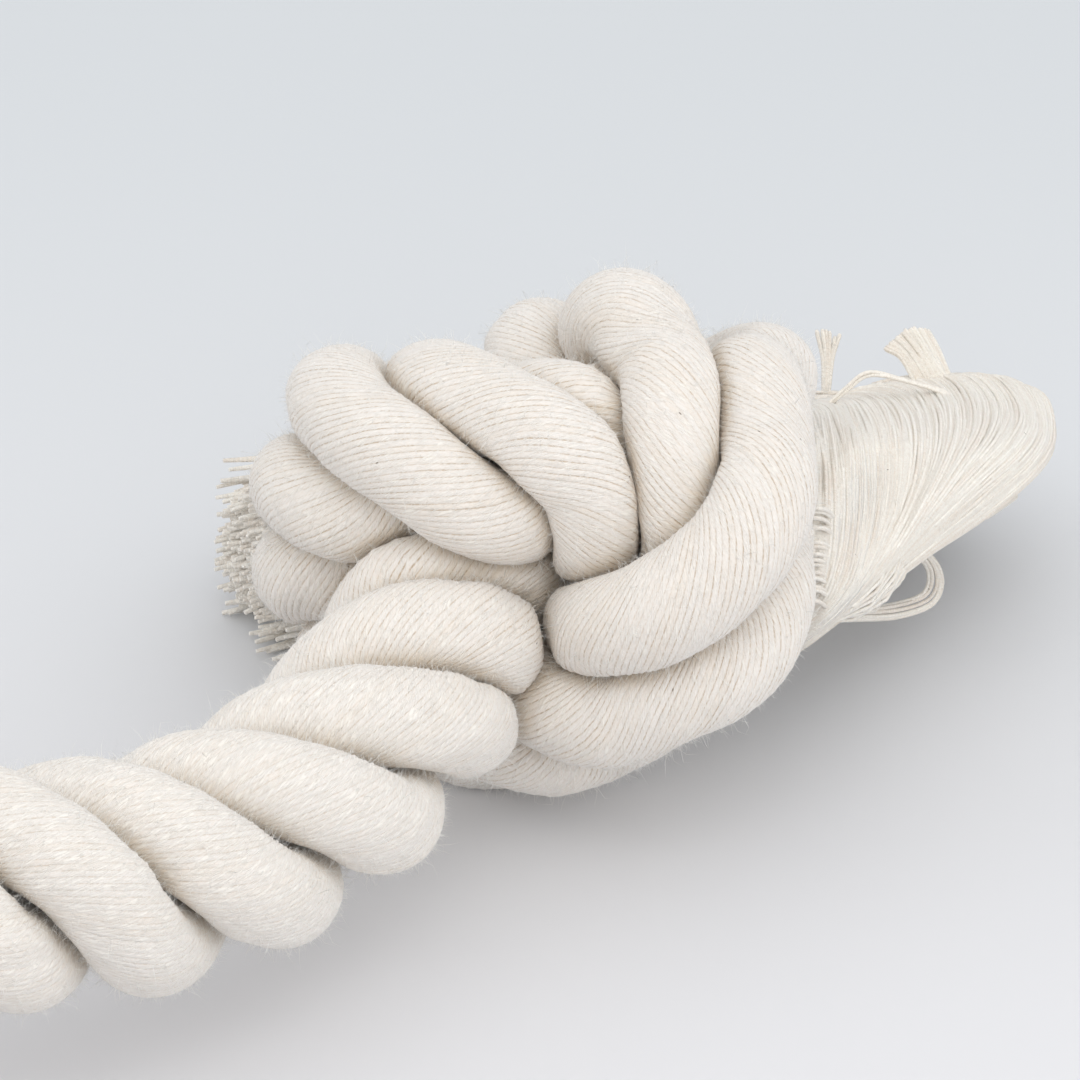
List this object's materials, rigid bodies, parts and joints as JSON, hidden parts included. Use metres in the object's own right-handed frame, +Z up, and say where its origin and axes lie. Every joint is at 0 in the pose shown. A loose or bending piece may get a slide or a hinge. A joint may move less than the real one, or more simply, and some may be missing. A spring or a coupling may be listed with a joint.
{
  "type": "rope dog toy",
  "caption": "Thick twisted cotton rope with an overhand knot tied near each end and the strands combed out into tassels, for a dog to chew, fetch and tug.",
  "frame": {"origin": "middle of the toy's box, on the surface that it lies on", "axes": "+X along the toy, towards the knot whose tassel is folded back; +Z up"},
  "size_m": [0.5198, 0.1248, 0.0743],
  "materials": {
    "rope_cotton": "undyed cotton yarn, matt and slightly fuzzy",
    "tassel_cotton": "loose undyed cotton yarn"
  },
  "bodies": {
    "near_end": {"near_knot_strand_1": "rope_cotton", "near_knot_strand_2": "rope_cotton", "near_knot_strand_3": "rope_cotton", "rope_strand_1": "rope_cotton", "rope_strand_2": "rope_cotton", "rope_strand_3": "rope_cotton"},
    "far_end": {"far_knot_strand_1": "rope_cotton", "far_knot_strand_2": "rope_cotton", "far_knot_strand_3": "rope_cotton"},
    "near_tassel": {"near_tassel_lock_1": "tassel_cotton", "near_tassel_lock_2": "tassel_cotton", "near_tassel_lock_3": "tassel_cotton"},
    "far_tassel": {"far_tassel_lock_1": "tassel_cotton", "far_tassel_lock_2": "tassel_cotton", "far_tassel_lock_3": "tassel_cotton"}
  },
  "joints": [
    {"name": "rope_bend", "type": "hinge", "parent": "near_end", "child": "far_end", "pos_m": [0.03819, -0.0131, 0.03714], "axis": [0, 0, 1], "range_deg": [-75, 75], "deforming": ["rope_strand_1", "rope_strand_2", "rope_strand_3"]},
    {"name": "near_tassel_swing", "type": "hinge", "parent": "near_end", "child": "near_tassel", "pos_m": [0.19719, -0.0156, 0.03363], "axis": [0, 0, -1], "range_deg": [0, 70], "deforming": ["near_tassel_lock_1", "near_tassel_lock_2", "near_tassel_lock_3"]},
    {"name": "far_tassel_swing", "type": "hinge", "parent": "far_end", "child": "far_tassel", "pos_m": [-0.12081, -0.0106, 0.03363], "axis": [0, 0, 1], "range_deg": [-35, 35], "deforming": ["far_tassel_lock_1", "far_tassel_lock_2", "far_tassel_lock_3"]}
  ]
}
